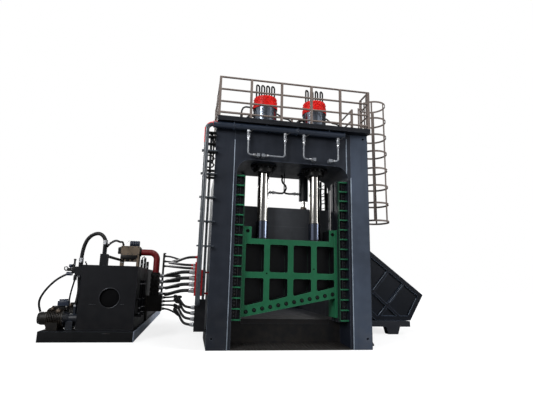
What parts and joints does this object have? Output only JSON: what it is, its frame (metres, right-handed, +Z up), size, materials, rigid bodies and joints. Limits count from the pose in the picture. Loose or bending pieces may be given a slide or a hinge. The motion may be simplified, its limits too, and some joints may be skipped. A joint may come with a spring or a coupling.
{
  "type": "gantry_shear",
  "caption": "Hydraulic gantry shear for scrap: portal frame with inclined knife carriage, clamp, feed trough, tilting tray and separate power station",
  "frame": {"origin": "centre of the gantry's bed on the floor, under the middle of the frame", "axes": "+X to the right seen from the discharge side, +Y towards the feed trough, +Z up"},
  "size_m": [11.8732, 12.35, 7.1128],
  "materials": {
    "slate_paint": "semi-gloss dark slate paint",
    "light_slate_paint": "semi-gloss lighter slate paint",
    "green_paint": "semi-gloss green paint",
    "rail_paint": "satin taupe paint",
    "red_paint": "gloss red paint",
    "dark_red_paint": "gloss dark red paint",
    "black_paint": "semi-gloss near-black paint",
    "tan_paint": "satin tan paint",
    "blue_paint": "gloss blue paint",
    "chrome_rod": "ground and chromed rod",
    "bright_steel": "machined steel",
    "worn_steel": "worn bare steel plate",
    "hose_rubber": "matte black rubber"
  },
  "bodies": {
    "frame": {"left_column": "slate_paint", "right_column": "light_slate_paint", "top_beam": "slate_paint", "bed_block": "slate_paint", "fixed_blade": "bright_steel", "discharge_plate": "worn_steel", "guide_blocks": "black_paint", "guide_ribs": "green_paint", "clamp_wear_plates": "bright_steel", "anchor_feet": "slate_paint", "platform_deck": "slate_paint", "platform_railings": "rail_paint", "ladder": "rail_paint", "ladder_cage": "rail_paint", "main_barrels": "slate_paint", "main_barrel_heads": "red_paint", "head_hose_loops": "hose_rubber", "main_glands": "black_paint", "clamp_barrels": "light_slate_paint", "header_pipe": "slate_paint", "branch_pipes": "bright_steel", "riser_pipes": "light_slate_paint", "red_manifold": "dark_red_paint", "lower_manifold": "black_paint", "feed_trough": "slate_paint", "feed_barrel": "light_slate_paint", "feed_cradle": "slate_paint", "hopper_base": "slate_paint", "station_skid": "slate_paint", "oil_tank": "black_paint", "pump_motors": "black_paint", "pumps": "blue_paint", "valve_block": "tan_paint", "valve_stack": "black_paint", "return_pipe": "dark_red_paint", "tank_pipework": "black_paint", "hose_a": "hose_rubber", "hose_b": "hose_rubber", "hose_c": "hose_rubber", "hose_d": "hose_rubber", "hose_e": "hose_rubber", "hose_f": "hose_rubber", "hose_g": "hose_rubber", "hose_h": "hose_rubber", "hose_i": "hose_rubber", "hose_j": "hose_rubber", "hose_k": "hose_rubber", "hose_arch": "hose_rubber"},
    "carriage": {"knife_carriage": "green_paint", "carriage_shoes": "green_paint", "moving_blade": "bright_steel", "main_rods": "chrome_rod"},
    "clamp": {"clamp_head": "light_slate_paint", "clamp_rods": "chrome_rod"},
    "pusher": {"feed_pusher": "light_slate_paint", "feed_rod": "chrome_rod"},
    "tray": {"tray_floor": "light_slate_paint", "tray_ends": "light_slate_paint"},
    "tilt_barrels": {"lift_barrels": "black_paint"},
    "tilt_rods": {"lift_rods": "chrome_rod"}
  },
  "joints": [
    {"name": "knife_stroke", "type": "slide", "parent": "frame", "child": "carriage", "axis": [0, 0, 1], "range_m": [-0.62, 1.05]},
    {"name": "clamp_stroke", "type": "slide", "parent": "frame", "child": "clamp", "axis": [0, 0, 1], "range_m": [-1.3, 0.18]},
    {"name": "feed_stroke", "type": "slide", "parent": "frame", "child": "pusher", "axis": [0, 1, 0], "range_m": [-3.9, 0]},
    {"name": "tray_tilt", "type": "hinge", "parent": "frame", "child": "tray", "pos_m": [2.25, 4.15, 1.7], "axis": [0, -1, 0], "range_deg": [0, 80]},
    {"name": "tilt_cylinder_swing", "type": "hinge", "parent": "frame", "child": "tilt_barrels", "pos_m": [2.8, 4.15, 0.52], "axis": [0, -1, 0], "range_deg": [0, 18.5]},
    {"name": "tilt_cylinder_stroke", "type": "slide", "parent": "tilt_barrels", "child": "tilt_rods", "axis": [0.0844, 0, 0.9964], "range_m": [0, 0.69]}
  ],
  "couplings": [
    {"joint": "tilt_cylinder_swing", "follows": "tray_tilt", "ratio": 0.22936},
    {"joint": "tilt_cylinder_stroke", "follows": "tray_tilt", "m_per_rad": 0.49249}
  ]
}
